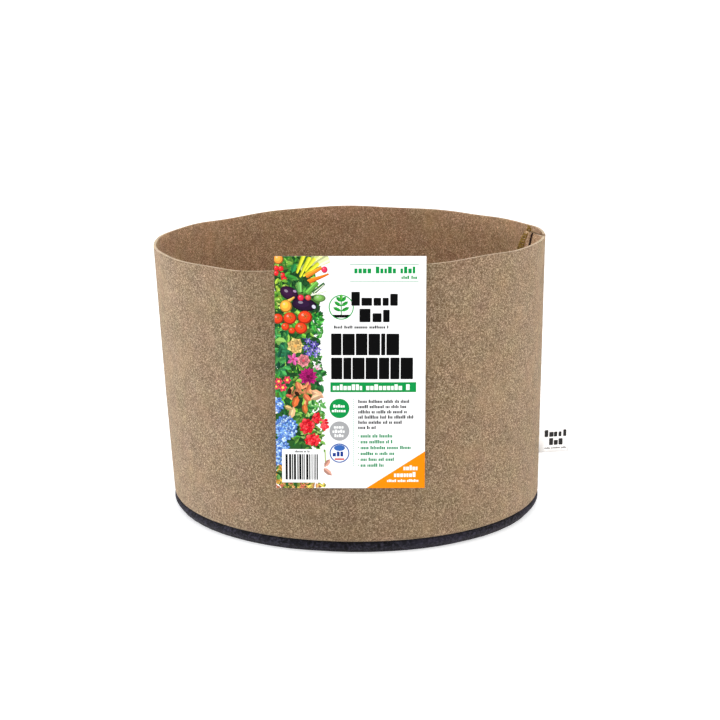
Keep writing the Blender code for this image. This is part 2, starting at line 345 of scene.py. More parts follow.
def weave_material(name, ground, shadow):
    """A close satin weave, laid out on the piece's UV map, which is in metres."""
    material, tree, shader = new_material(name, 0.55)
    flat = node(tree, "UVMap", uv_map="metres").outputs[0]
    inputs = {"Vector": flat, "Scale": WAVE_PERIOD / WEAVE_PITCH, "Distortion": 0.6, "Detail": 1.0}
    ribs = [node(tree, "TexWave", inputs, bands_direction=axis).outputs[1] for axis in ("X", "Y")]
    weave = math_of(tree, "MULTIPLY", *ribs)
    dust = noise_of(tree, flat, 90.0, 3.0)
    tone = mix(tree, ramp(tree, weave, 0.0, 0.5), shadow, ground)
    tone = overlay(tree, tone, shadow, dust, 0.5, 0.8, 0.3)
    fill_inputs(tree, shader, {
        "Base Color": inked(tree, tone),
        "Sheen Weight": 0.05,
        "Normal": bump_of(tree, weave, 0.08 * MM, 0.25),
    })
    return material


def paper_material(name, ground, roughness, mottle, gloss=0.15, printed=False, strength=1.0):
    """Paper or card, with press mottle and a faint grain. A printed one takes its ink from the mesh."""
    material, tree, shader = new_material(name, roughness)
    flat = node(tree, "UVMap", uv_map="metres").outputs[0]
    tone = inked(tree, ground) if printed else ground
    grain = noise_of(tree, flat, 900.0, 3.0, 0.6)
    blot = noise_of(tree, flat, 220.0)
    both = math_of(tree, "ADD", math_of(tree, "MULTIPLY", grain, 0.5), math_of(tree, "MULTIPLY", blot, 0.5))
    level = remap(tree, both, 0.3, 0.7, strength * (1 - mottle), strength * (1 + mottle / 2))
    fill_inputs(tree, shader, {
        "Base Color": shaded(tree, tone, level),
        "Specular IOR Level": gloss,
        "Normal": bump_of(tree, grain, 0.05 * MM, 0.4),
    })
    return material


# ---------------------------------------------------------------- meshes


def new_object(name, mesh, *materials):
    piece = bpy.data.objects.new(name, mesh)
    bpy.context.scene.collection.objects.link(piece)
    for material in materials:
        mesh.materials.append(material)
    return piece


def mesh_of(name, points, faces):
    mesh = bpy.data.meshes.new(name)
    mesh.from_pydata([tuple(p) for p in points], [], faces)
    mesh.update()
    return mesh


def finish_smooth(piece, sharp=40):
    piece.data.shade_smooth()
    piece.data.set_sharp_from_angle(angle=math.radians(sharp))


def solidify(piece, thickness, offset):
    solid = piece.modifiers.new("thickness", "SOLIDIFY")
    solid.thickness = thickness
    solid.offset = offset
    return solid


def tube(name, points, radius, material, sides=7):
    """A thread along a list of points, its frame carried from point to point and its ends closed."""
    verts, faces = [], []
    side = None
    for i, point in enumerate(points):
        ahead = points[min(i + 1, len(points) - 1)] - points[max(i - 1, 0)]
        ahead.normalize()
        if side is None:
            side = ahead.orthogonal().normalized()
        side = (side - ahead * side.dot(ahead)).normalized()
        up = ahead.cross(side)
        for k in range(sides):
            turn = 2 * math.pi * k / sides
            verts.append(point + radius * (side * math.cos(turn) + up * math.sin(turn)))
    for i in range(len(points) - 1):
        for k in range(sides):
            a, b = i * sides + k, i * sides + (k + 1) % sides
            faces.append((a, b, b + sides, a + sides))
    faces.append(tuple(reversed(range(sides))))
    faces.append(tuple(range(len(verts) - sides, len(verts))))
    piece = new_object(name, mesh_of(name, verts, faces), material)
    finish_smooth(piece)
    return piece


def spline(points, steps):
    """A smooth curve through the points (Catmull-Rom), with so many steps between each pair."""
    made = []
    for i in range(len(points) - 1):
        a = points[max(i - 1, 0)]
        b, c = points[i], points[i + 1]
        d = points[min(i + 2, len(points) - 1)]
        for k in range(steps):
            t = k / steps
            square, cube = (2 * a - 5 * b + 4 * c - d) * t**2, (3 * b - 3 * c + d - a) * t**3
            made.append(0.5 * (2 * b + (c - a) * t + square + cube))
    made.append(points[-1].copy())
    return made


def round_point(radius, angle, z):
    return Vector((radius * math.cos(angle), radius * math.sin(angle), z))


# ---------------------------------------------------------------- the bag's shape


def wall_axes(lift):
    """The half widths of the wall's oval, at a height given as lift: 0 at the foot and 1 at the mouth."""
    return FOOT_RADIUS + lift * (MOUTH_A - FOOT_RADIUS), FOOT_RADIUS + lift * (MOUTH_B - FOOT_RADIUS)


def angle_between(a, b):
    return math.remainder(a - b, 2 * math.pi)


def swell(angle, middle, spread):
    return math.exp(-0.5 * (angle_between(angle, middle) / spread) ** 2)


def free(angle, holder, held):
    """0 where a holder at some angle keeps the felt in place, and 1 away from it."""
    return smoothstep(*held, abs(angle_between(angle, holder)))


def rim_height(angle):
    """The mouth's edge: higher at the seam and at the back, and sagging at the front left."""
    beside_hook = free(angle, FRONT, HELD_BY_HOOK)
    sag = SAG * swell(angle, SAG_ANGLE, SAG_SPREAD) * beside_hook
    rise = BACK_RISE * swell(angle, BACK_ANGLE, BACK_SPREAD)
    waves = math.sin(7 * angle + 1) + math.sin(13 * angle)
    waver = WAVER * waves * free(angle, SEAM_ANGLE, HELD_BY_SEAM) * beside_hook
    return BAG_HEIGHT + MOUTH_RISE / 2 * math.cos(angle) - sag + rise + waver


def ripple(angle, lift):
    """How far the felt stands out from the plain ruled wall: the old fold lines and soft ripples."""
    folds = 0.0
    for middle, height, spread in FOLDS:
        away = math.hypot(angle_between(angle, middle), FOLD_ROUNDING)
        folds += height * max(0.0, 1 - away / spread) ** 2 * smoothstep(0, 0.7, lift)
    waves = math.sin(3 * angle + 0.6) + 0.7 * math.sin(5 * angle + 2.2 + lift)
    waves += 0.4 * math.sin(8 * angle + 4 * lift)
    body = math.sin(math.pi * min(lift * 1.1, 1)) * math.sin(2 * angle + 1.9)
    loose = free(angle, SEAM_ANGLE, HELD_BY_SEAM) * free(angle, FRONT, HELD_BY_CARD)
    return folds + RIPPLE * loose * (waves * lift**1.5 / 1.6 + 0.5 * body)


def wall_point(angle, lift):
    a, b = wall_axes(lift)
    z = FOOT_Z + lift * (rim_height(angle) - FOOT_Z)
    return Vector((MOUTH_SHIFT * lift + a * math.cos(angle), b * math.sin(angle), z))


def wall_tangent(angle, lift):
    a, b = wall_axes(lift)
    return Vector((-a * math.sin(angle), b * math.cos(angle), 0)).normalized()


def wall_inward(angle, lift):
    tangent = wall_tangent(angle, lift)
    return Vector((-tangent.y, tangent.x, 0))


def seam_point(lift, along, inward):
    tangent, normal = wall_tangent(SEAM_ANGLE, lift), wall_inward(SEAM_ANGLE, lift)
    return wall_point(SEAM_ANGLE, lift) + tangent * along + normal * inward


def lift_at(z):
    return (z - FOOT_Z) / (rim_height(SEAM_ANGLE) - FOOT_Z)


def flap_vectors(lift):
    lean = FLAP_LEAN_LOW + (FLAP_LEAN_HIGH - FLAP_LEAN_LOW) * lift**FLAP_TWIST_POWER
    return lean, Vector((math.sin(lean), math.cos(lean))), Vector((-math.cos(lean), math.sin(lean)))


def flap_point(lift, reach, forward=0.0):
    _, direction, front = flap_vectors(lift)
    place = direction * reach + front * forward
    return seam_point(lift, place.x, place.y)


def seam_layer(side, lift):
    """One layer of the seam's flap, from the wall round its bend to the free edge."""
    lean, direction, front = flap_vectors(lift)
    start = front * (-side * LAYER_OFFSET)
    corner = start - direction * (start.y / direction.y)
    turn = math.pi / 2 + side * lean
    first = corner + Vector((side * SEAM_BEND * math.tan(turn / 2), 0))
    centre = first + Vector((0, SEAM_BEND))
    points = []
    for step in range(BEND_STEPS + 1):
        swept = turn * step / BEND_STEPS
        points.append(centre + Vector((-side * math.sin(swept), -math.cos(swept))) * SEAM_BEND)
    bend_end, tip = points[-1], start + direction * FLAP_LENGTH
    for step in range(1, FLAP_COLUMNS + 1):
        points.append(bend_end.lerp(tip, step / FLAP_COLUMNS))
    return points


def pile(point, normal):
    """The felt's own unevenness, as a step along its normal."""
    rough = noise.noise(point * 160) * 0.7 + noise.noise(point * 420) * 0.45
    return point + normal * (PILE * rough)


def foot_profile():
    """The wall's foot below its straight part, as (inset, height): the flange and the bend into it."""
    points = [(FLANGE, FLANGE_Z), (FLANGE * 0.6, FLANGE_Z)]
    for step in range(FOOT_BEND_STEPS):
        turn = math.pi / 2 * step / FOOT_BEND_STEPS
        points.append((FOOT_BEND * (1 - math.sin(turn)), FLANGE_Z + FOOT_BEND * (1 - math.cos(turn))))
    return points


def wall_lifts():
    """How high the wall's rows are: a few below the flap's foot, then one at it and even rows above."""
    flap_foot = lift_at(FLAP_FOOT)
    below = [flap_foot * i / FOOT_ROWS for i in range(FOOT_ROWS)]
    return below + [flap_foot + (1 - flap_foot) * i / WALL_ROWS for i in range(WALL_ROWS + 1)]


def strip_angle(i, lift):
    """Below the flap's foot the strip's two ends meet; above it they part for the flap's bends."""
    _, b = wall_axes(lift)
    parted = lift > lift_at(FLAP_FOOT) * 0.99
    first = (seam_layer(1, lift)[0].x if parted else SLOT / 2) / b
    last = 2 * math.pi + (seam_layer(-1, lift)[0].x if parted else -SLOT / 2) / b
    return SEAM_ANGLE + first + (last - first) * i / WALL_COLUMNS


def wall_rows(lifts):
    """The places of the wall's mesh points, row by row from the flange's edge to the mouth."""
    rows = []
    for inset, z in foot_profile():
        angles = [strip_angle(i, 0) for i in range(WALL_COLUMNS + 1)]
        places = [wall_point(angle, 0) + wall_inward(angle, 0) * inset for angle in angles]
        rows.append([Vector((p.x, p.y, z)) for p in places])
    for lift in lifts:
        row = []
        for i in range(WALL_COLUMNS + 1):
            angle = strip_angle(i, lift)
            outward = -wall_inward(angle, lift)
            row.append(pile(wall_point(angle, lift) + outward * ripple(angle, lift), outward))
        rows.append(row)
    return rows


def add_flap_layer(shape, side, edge, rows):
    """One layer of the seam's flap, joined to the wall's edge. rows are (lift, the wall's points there)."""
    strips = []
    for lift, row in rows:
        front = flap_vectors(lift)[2]
        facing = wall_tangent(SEAM_ANGLE, lift) * front.x + wall_inward(SEAM_ANGLE, lift) * front.y
        places = [pile(seam_point(lift, p.x, p.y), facing) for p in seam_layer(side, lift)[1:]]
        strips.append([row[edge], *[shape.verts.new(p) for p in places]])
    for low, high in zip(strips, strips[1:]):
        for i in range(len(low) - 1):
            corners = (low[i], low[i + 1], high[i + 1], high[i])
            shape.faces.new(corners[::-1] if side == 1 else corners)


def make_wall():
    """The felt strip: flange, foot, wall and the two layers of the seam's flap, as one sheet."""
    lifts = wall_lifts()
    shape = bmesh.new()
    grid = [[shape.verts.new(p) for p in row] for row in wall_rows(lifts)]
    for low, high in zip(grid, grid[1:]):
        for i in range(WALL_COLUMNS):
            shape.faces.new((low[i], low[i + 1], high[i + 1], high[i]))
    flap_rows = list(zip(lifts, grid[-len(lifts):]))[FOOT_ROWS:]
    add_flap_layer(shape, 1, 0, flap_rows)
    add_flap_layer(shape, -1, WALL_COLUMNS, flap_rows)
    mesh = bpy.data.meshes.new("felt_wall")
    shape.to_mesh(mesh)
    shape.free()
    # The cut edges' felt is a lighter copy too: a painted highlight along the rim and the edges
    # The inner face's felt is a lighter copy of the outer felt: painted light on the bag's inside
    wall = new_object("felt_wall", mesh, FELT_TAN, FELT_INSIDE_PAINTED_LIGHT, FELT_CUT_PAINTED_HIGHLIGHT)
    make_felt_thick(wall, 1, 2)
    finish_smooth(wall)
    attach(wall, "bag")
    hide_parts("side_wall")


def make_felt_thick(piece, inner, cut):
    """Gives felt its thickness. inner and cut are the slots of its inner face's and cut edge's materials."""
    solid = solidify(piece, FELT, 0)
    solid.use_even_offset = True
    solid.material_offset = inner
    solid.material_offset_rim = cut
    edge = piece.modifiers.new("soft_edge", "BEVEL")
    edge.width = 0.5 * MM
    edge.segments = 2
    edge.limit_method = "ANGLE"
    edge.angle_limit = math.radians(60)


def base_profile():
    """The base's section from the flange's edge to near its middle, and where its floor starts to rise."""
    top = CURL_HEIGHT - FELT / 2
    curl_centre = Vector((FOOT_RADIUS - CURL_BEND, top - CURL_BEND))
    slope_top = curl_centre + CURL_BEND * Vector((math.sin(CURL_SLOPE), -math.cos(CURL_SLOPE)))
    slope_bottom_z = FELT / 2 + FLOOR_BEND * (1 - math.cos(CURL_SLOPE))
    slope_bottom_x = slope_top.x - (slope_top.y - slope_bottom_z) / math.tan(CURL_SLOPE)
    flat_edge = slope_bottom_x - FLOOR_BEND * math.sin(CURL_SLOPE)

    profile = [Vector((FLANGE_EDGE, top)), Vector((FLANGE_EDGE + FLANGE / 2, top))]
    for step in range(CURL_STEPS + 1):
        turn = math.pi - (math.pi - CURL_SLOPE) * step / CURL_STEPS
        profile.append(curl_centre + CURL_BEND * Vector((math.sin(turn), -math.cos(turn))))
    for step in range(FLOOR_BEND_STEPS + 1):
        turn = CURL_SLOPE * (1 - step / FLOOR_BEND_STEPS)
        rise = FLOOR_BEND * (1 - math.cos(turn))
        profile.append(Vector((flat_edge + FLOOR_BEND * math.sin(turn), FELT / 2 + rise)))
    profile += [Vector((flat_edge * (1 - step / BASE_RINGS), FELT / 2)) for step in range(1, BASE_RINGS)]
    return profile, flat_edge


def base_row(radius, z, flat_edge):
    """One ring of the base: gathered between floor and edge, and uneven on the floor."""
    edge = smoothstep(flat_edge, FOOT_RADIUS, radius)
    row = []
    for i in range(BASE_COLUMNS):
        angle = 2 * math.pi * i / BASE_COLUMNS
        place = round_point(radius, angle, z)
        pucker = PUCKER * math.sin(angle * 61 + 2 * math.sin(angle * 5)) * edge * (1 - edge) * 4
        floor = FLOOR_RISE * smoothstep(0.05, 1, 1 - edge) * max(0, noise.noise(place * 14))
        row.append(place + place.normalized() * pucker + Vector((0, 0, floor)))
    return row


def make_base():
    """The charcoal disc, whose edge slopes up from the floor and curls in to the flange it is sewn by."""
    profile, flat_edge = base_profile()
    shape = bmesh.new()
    grid = [[shape.verts.new(p) for p in base_row(radius, z, flat_edge)] for radius, z in profile]
    for low, high in zip(grid, grid[1:]):
        for i in range(BASE_COLUMNS):
            k = (i + 1) % BASE_COLUMNS
            shape.faces.new((low[i], high[i], high[k], low[k]))
    centre = shape.verts.new((0, 0, FELT / 2))
    for i in range(BASE_COLUMNS):
        shape.faces.new((grid[-1][i], centre, grid[-1][(i + 1) % BASE_COLUMNS]))
    mesh = bpy.data.meshes.new("felt_base")
    shape.to_mesh(mesh)
    shape.free()
    base = new_object("felt_base", mesh, FELT_CHARCOAL)
    make_felt_thick(base, 0, 0)
    finish_smooth(base)
    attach(base, "bag")
    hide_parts("base_panel")
    length = sum((b - a).length for a, b in zip(profile, profile[1:])) + flat_edge / BASE_RINGS


# ---------------------------------------------------------------- threads


def sewn_line(name, place, count, radius, material):
    """A row of stitches: the thread shows between two needle holes and dives into the felt at each.

    place(share, out) is a point along the row, and that far out of the felt's face.
    """
    points = []
    for i in range(count):
        for k in range(STITCH_STEPS):
            arch = math.sin(math.pi * k / STITCH_STEPS) ** 0.5
            out = -STITCH_DIP + (STITCH_DIP + STITCH_ARCH) * arch
            points.append(place((i + k / STITCH_STEPS) / count, out))
    points.append(place(1.0, -STITCH_DIP))
    return tube(name, points, radius, material)


def overlock_loop(inner, edge, front, back):
    """One loop over a cut edge, as (share of the pitch, how far across, how far through the felt)."""
    return ((0.0, inner, front), (0.4, edge, front), (0.45, edge, back), (0.65, inner, back),
            (0.85, edge, back), (0.9, edge, front))


def make_base_chain_stitch():
    """The chain stitch round the flanges."""

    def on_flange(share, out):
        angle = 2 * math.pi * share
        radius = FLANGE_EDGE + BASE_STITCH_INSET + 0.2 * MM * math.sin(angle * 31)
        return round_point(radius, angle, FLANGE_Z + FELT / 2 + out)

    count = round(2 * math.pi * FLANGE_EDGE / BASE_STITCH_PITCH)
    chain = sewn_line("base_chain_stitch", on_flange, count, BASE_STITCH_RADIUS, THREAD_DARK)
    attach(chain, "bag")
    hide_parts("base_stitch_thread")


def make_base_overlock():
    """The overlock over the flanges' inner edge."""
    loops = round(2 * math.pi * FLANGE_EDGE / BASE_LOOP_PITCH)
    upper = FLANGE_Z + FELT / 2 + THREAD_OFF_FELT
    lower = CURL_HEIGHT - FELT - THREAD_OFF_FELT
    loop = overlock_loop(BASE_LOOP_WIDTH, -LOOP_PAST_EDGE, upper, lower)
    points = []
    for i in range(loops):
        for share, out, z in loop:
            radius = FLANGE_EDGE + out + random.uniform(-0.3, 0.3) * MM
            points.append(round_point(radius, 2 * math.pi * (i + share) / loops, z))
    points.append(points[0].copy())
    wrap = tube("base_overlock", spline(points, 3), BASE_LOOP_RADIUS, THREAD_GOLD, sides=5)
    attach(wrap, "bag")
    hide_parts("base_edge_thread")


SEWN_FROM = FLAP_FOOT + 2 * MM


def sewn_lift(share):
    """A place along the side seam's stitches, as the wall's lift: 0 at their foot and 1 at the mouth."""
    return lift_at(SEWN_FROM + (rim_height(SEAM_ANGLE) - SEWN_FROM) * share)


def sewn_count(pitch):
    return round((rim_height(SEAM_ANGLE) - SEWN_FROM) / pitch)


def make_side_chain_stitch():
    """The chain stitch down the seam's flap."""

    def on_flap(share, out):
        return flap_point(sewn_lift(share), FLAP_STITCH_REACH, FLAP_HALF + out)

    count = sewn_count(SIDE_STITCH_PITCH)
    chain = sewn_line("side_chain_stitch", on_flap, count, SIDE_STITCH_RADIUS, THREAD_DARK)
    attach(chain, "bag")
    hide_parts("side_stitch_thread")


def thread_tail(lean):
    """A curling end of thread above the flap. lean is -1 or 1, for the side it bends to."""
    foot = flap_point(1.0, FLAP_LENGTH + LOOP_PAST_EDGE - 2 * MM - lean * 1.5 * MM, lean * MM)
    direction = flap_vectors(1.0)[1]
    across = wall_tangent(SEAM_ANGLE, 1) * direction.x + wall_inward(SEAM_ANGLE, 1) * direction.y
    bend = [foot - Vector((0, 0, MM))]
    for share in (0.25, 0.5, 0.75, 1):
        curl = lean * TAIL_CURL * math.sin(math.pi * 1.3 * share)
        bend.append(foot + Vector((0, 0, TAIL_HEIGHT * share)) + across * curl)
    return spline(bend, 4)


def make_side_overlock():
    """The overlock over the flap's free edge: its loops, two threads along them and a tail at the top."""
    loops = sewn_count(SIDE_LOOP_PITCH)
    inner, edge = FLAP_LENGTH - SIDE_LOOP_WIDTH, FLAP_LENGTH + LOOP_PAST_EDGE
    face = FLAP_HALF + THREAD_OFF_FELT
    points = []
    for i in range(loops):
        for share, reach, forward in overlock_loop(inner, edge, face, -face):
            lift = sewn_lift(min((i + share) / loops, 1))
            points.append(flap_point(lift, reach + random.uniform(-0.4, 0.4) * MM, forward))
    needle = [flap_point(sewn_lift(i / loops), inner + MM, face) for i in range(loops + 1)]
    chained = []
    for i in range(loops * 4 + 1):
        sway = 1.8 * MM * math.sin(math.pi * i / 2)
        chained.append(flap_point(sewn_lift(i / (loops * 4)), edge + 0.3 * MM, sway))
    made = [
        tube("side_overlock", spline(points, 3), SIDE_LOOP_RADIUS, THREAD_GOLD, sides=5),
        tube("overlock_needle_thread", needle, NEEDLE_THREAD_RADIUS, THREAD_GOLD, sides=5),
        tube("overlock_edge_chain", chained, EDGE_CHAIN_RADIUS, THREAD_GOLD, sides=5),
        tube("thread_tail_left", thread_tail(-1), TAIL_RADIUS, THREAD_GOLD),
        tube("thread_tail_right", thread_tail(1), TAIL_RADIUS, THREAD_GOLD),
    ]
    for piece in made:
        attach(piece, "bag")
    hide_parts("side_edge_thread")


# ---------------------------------------------------------------- flat artwork


class Artwork:
    """Flat shapes in millimetres from a sheet's top left corner, y down, each over the ones before it."""

    def __init__(self, width, height, ground, seed):
        self.height = height
        self.shapes = []
        self.chance = random.Random(seed)
        self.box(0, 0, width, height, ground)

    def add(self, points, tone):
        self.shapes.append(([Vector(p) for p in points], tone))

    def box(self, x0, y0, x1, y1, tone):
        self.add(((x0, y0), (x1, y0), (x1, y1), (x0, y1)), tone)

    def block(self, x0, y0, x1, y1, tone):
        """A box with cut corners."""
        cut = min(0.6, 0.2 * (x1 - x0))
        self.add(
            ((x0 + cut, y0), (x1 - cut, y0), (x1, y0 + cut), (x1, y1 - cut),
             (x1 - cut, y1), (x0 + cut, y1), (x0, y1 - cut), (x0, y0 + cut)),
            tone,
        )

    def oval(self, x, y, rx, ry, tone, turn=0.0, sides=14, rough=0.0):
        c, s = math.cos(turn), math.sin(turn)
        points = []
        for k in range(sides):
            angle = 2 * math.pi * k / sides
            reach = 1 + self.chance.uniform(-rough, rough)
            u, v = rx * reach * math.cos(angle), ry * reach * math.sin(angle)
            points.append((x + u * c - v * s, y + u * s + v * c))
        self.add(points, tone)

    def ring(self, x, y, radius, tone, inner, ground):
        self.oval(x, y, radius, radius, tone, sides=36)
        self.oval(x, y, inner, inner, ground, sides=32)

    def words(self, x0, x1, y0, y1, tone, letter=1.0, seed=0):
        """A line of greeked print: letter-wide blocks in words, with no letter drawn."""
        chance = random.Random(seed)
        x, left = x0, chance.randint(3, 8)
        while x + letter < x1:
            if left == 0:
                x += letter * 0.9
                left = chance.randint(2, 9)
                continue
            wide = letter * chance.uniform(0.65, 1.0)
            top = y0 + (y1 - y0) * chance.choice((0.0, 0.28, 0.28, 0.28))
            self.box(x, top, min(x + wide, x1), y1, tone)
            x += wide + letter * 0.24
            left -= 1

    def tinted(self, tone, change):
        return tuple(min(max(v * (1 + change), 0), 255) for v in tone)

    def leaf(self, x, y, length, width, turn, tone):
        c, s = math.cos(turn), math.sin(turn)
        outline = ((-0.5, 0), (-0.22, 0.43), (0.18, 0.43), (0.5, 0), (0.18, -0.43), (-0.22, -0.43))
        for part, change in ((outline, 0.0), (outline[:4], -0.22)):
            points = [(u * length, v * width) for u, v in part]
            self.add([(x + u * c - v * s, y + u * s + v * c) for u, v in points], self.tinted(tone, change))

    def foliage(self, x0, y0, x1, y1, count, size, tones):
        for _ in range(count):
            x, y = self.chance.uniform(x0, x1), self.chance.uniform(y0, y1)
            tone = self.tinted(self.chance.choice(tones), self.chance.uniform(-0.25, 0.2))
            length = size * self.chance.uniform(0.7, 1.3)
            width = length * self.chance.uniform(0.4, 0.65)
            self.leaf(x, y, length, width, self.chance.uniform(0, 6.28), tone)

    def fruit(self, x, y, rx, ry, tone, turn=0.0):
        """A round fruit, darker at its edge, with a soft shine."""
        shine = tuple(v + (255 - v) * 0.45 for v in tone)
        for scale, shift, made in ((1.0, 0.0, self.tinted(tone, -0.35)), (0.86, 0.06, tone),
                                   (0.55, 0.16, self.tinted(tone, 0.22)), (0.2, 0.3, shine)):
            self.oval(x - rx * shift, y - ry * shift * 1.2, rx * scale, ry * scale, made, turn)

    def flower(self, x, y, radius, petals, tone, heart, rows=1, pointed=0.5):
        for row in range(rows):
            size = radius * (1 - 0.62 * row / max(rows, 2))
            for k in range(petals):
                angle = 2 * math.pi * (k + row * 0.5) / petals + self.chance.uniform(-0.1, 0.1)
                px, py = x + math.cos(angle) * size * 0.56, y + math.sin(angle) * size * 0.56
                made = self.tinted(tone, -0.12 * row + self.chance.uniform(-0.12, 0.16))
                self.leaf(px, py, size * 0.95, size * pointed, angle, made)
        self.oval(x, y, radius * 0.2, radius * 0.2, heart, sides=8)

    def cluster(self, x, y, rx, ry, count, size, tones):
        """A round head of many small florets."""
        for k in range(count):
            reach = math.sqrt((k + 0.5) / count)
            angle = k * 2.4
            fx, fy = x + rx * reach * math.cos(angle), y + ry * reach * math.sin(angle)
            tone = self.tinted(self.chance.choice(tones), self.chance.uniform(-0.2, 0.15))
            self.oval(fx, fy, size, size * 0.8, tone, self.chance.uniform(0, 3), sides=6, rough=0.2)
            shine, off = self.tinted(tone, 0.35), size * 0.2
            self.oval(fx - off, fy - off, size * 0.4, size * 0.35, shine, sides=5)

    def taper(self, x0, y0, x1, y1, width, tip, tone):
        """A long root or pod from its thick end to its tip, with a light streak."""
        along = Vector((x1 - x0, y1 - y0))
        side = Vector((-along.y, along.x)).normalized()
        start = Vector((x0, y0))
        for scale, shift, change in ((1.0, 0.0, -0.2), (0.72, -0.1, 0.0), (0.25, -0.22, 0.28)):
            half, end = width / 2 * scale, tip / 2 * scale
            off = side * (width * shift)
            places = ((0, half * 0.7), (0.08, half), (0.6, (half + end) / 2), (0.97, end), (1, 0))
            one = [start + off + along * t + side * h for t, h in places]
            two = [start + off + along * t - side * h for t, h in reversed(places[:-1])]
            self.add(one + two, self.tinted(tone, change))

    def faces(self, cuts=()):
        """The shapes merged into one flat triangle mesh: (points, triangles, the tone of each triangle)."""
        points, outlines = [], []
        for outline, _ in self.shapes:
            area = sum(a.x * b.y - b.x * a.y for a, b in zip(outline, outline[1:] + outline[:1]))
            if area < 0:
                outline = outline[::-1]
            outlines.append(list(range(len(points), len(points) + len(outline))))
            points += outline
        edges = []
        for x in cuts:
            edges.append((len(points), len(points) + 1))
            points += [Vector((x, 0)), Vector((x, self.height))]
        made = delaunay_2d_cdt(points, edges, outlines, 0, 1e-5)
        places, triangles, owners = made[0], made[2], made[5]
        kept, tones = [], []
        for triangle, owner in zip(triangles, owners):
            if 0 in owner:
                kept.append(tuple(triangle))
                tones.append(self.shapes[max(owner)][1])
        return places, kept, tones


def printed_mesh(name, art, bend, cuts=()):
    """The artwork as a bent sheet. bend(u, v) places a point that is u, v metres from the top left."""
    places, triangles, tones = art.faces(cuts)
    facing_out = [triangle[::-1] for triangle in triangles]
    mesh = mesh_of(name, [bend(p.x * MM, p.y * MM) for p in places], facing_out)
    ink = mesh.color_attributes.new("ink", "FLOAT_COLOR", "CORNER")
    layout = mesh.uv_layers.new(name="metres")
    for face, tone in zip(mesh.polygons, tones):
        linear = colour(*tone[:3])
        for corner in face.loop_indices:
            ink.data[corner].color = linear
            place = places[mesh.loops[corner].vertex_index]
            layout.data[corner].uv = (place.x * MM, place.y * MM)
    return mesh


BLACK = (4, 4, 5)
WHITE = (252, 252, 252)
GREEN = (14, 146, 70)
LEAF_TONES = ((70, 150, 50), (110, 180, 60), (40, 110, 50), (150, 200, 80), (30, 80, 40))


def draw_market_strip(art):
    """Generic vegetables and flowers down the card's left side, from top to bottom."""
    draw_greenery(art)
    draw_squash_and_carrots(art)
    draw_aubergines(art)
    draw_tomatoes(art)
    draw_pale_flowers(art)
    draw_pink_flowers(art)
    draw_dry_leaves(art)
    draw_flower_heads(art)
    draw_foot_of_strip(art)


def draw_greenery(art):
    """Dark green behind everything, and leaves over it."""
    darks = ((44, 92, 40), (70, 110, 45), (30, 66, 34))
    for k in range(22):
        art.oval(20, 11 * k, 22 + 4 * math.sin(k * 1.7), 11, darks[k % 3], rough=0.12)
    for y0, y1, right in (
        (0, 30, 44), (24, 60, 42), (54, 86, 46), (82, 118, 44), (112, 150, 46), (146, 198, 48),
    ):
        art.foliage(-2, y0, right, y1, 70, 7, LEAF_TONES)


def draw_squash_and_carrots(art):
    """Squash, radishes, beans and carrots."""
    art.foliage(8, 0, 24, 16, 24, 5, ((60, 140, 50), (30, 90, 40), (120, 190, 70)))
    art.fruit(4, 3, 5, 5, (245, 150, 60))
    for x, y in ((2, 12), (6.5, 12.5), (2, 17), (9.5, 22.5), (8, 19)):
        art.fruit(x, y, 2.8, 2.8, (225, 40, 45))
    art.flower(5.5, 18.8, 2.4, 5, (60, 160, 80), (40, 110, 60))
    art.taper(46, -2, 26, 14, 9, 4, (205, 215, 130))
    art.taper(54, 2, 38, 10, 9, 5, (225, 232, 170))
    for x0, y0, x1, y1 in ((30, -3, 22, 17), (35, 1, 25, 21), (44, 7, 28, 20), (40, 2, 30, 15)):
        art.taper(x0, y0, x1, y1, 4.2, 2, (215, 220, 50))
    art.leaf(19, 12, 10, 6, 1.9, (50, 150, 80))
    art.leaf(18, 22, 13, 6, 0.4, (60, 150, 60))
    art.taper(31, 20, 47, 11.5, 5.2, 3, (245, 140, 40))
    art.taper(33, 25.5, 54, 18, 5, 1.2, (240, 120, 30))
    art.fruit(49.5, 13.5, 3.1, 3.3, (225, 50, 80))


def draw_aubergines(art):
    """Aubergines, cucumbers and an onion."""
    art.foliage(0, 24, 12, 54, 46, 6, ((170, 205, 70), (120, 180, 60), (200, 220, 110), (70, 130, 40)))
    art.foliage(18, 24, 34, 36, 26, 6, ((40, 100, 50), (80, 150, 60), (25, 70, 35)))
    art.taper(24, 26, 25, 36, 6, 4, (110, 175, 90))
    art.taper(32, 37, 43, 26, 6, 4, (100, 165, 70))
    art.taper(38, 37, 49.5, 27, 4, 3, (40, 85, 40))
    art.taper(39, 36.5, 49, 28.5, 1.2, 0.8, (215, 230, 190))
    art.taper(36, 39, 52, 34.5, 2, 1, (225, 235, 200))
    art.fruit(44.5, 42, 6.2, 3.9, (110, 160, 80))
    art.fruit(14.5, 37, 10, 6.5, (50, 22, 52), 0.5)
    art.oval(20, 35, 1.8, 1.2, (170, 140, 175), 0.4)
    art.fruit(29.5, 48.5, 12.5, 6.6, (40, 20, 48), 0.12)
    art.oval(38.8, 50.5, 2.2, 1.7, (215, 215, 235), 0.8)
    art.fruit(26, 41.5, 3.2, 3.3, (220, 40, 70))
    art.fruit(33.3, 41.5, 3, 3, (215, 75, 70))
    art.taper(12, 46, 20, 41, 4, 1, (240, 175, 80))
    art.fruit(11.2, 50, 6.1, 6.4, (245, 165, 60))


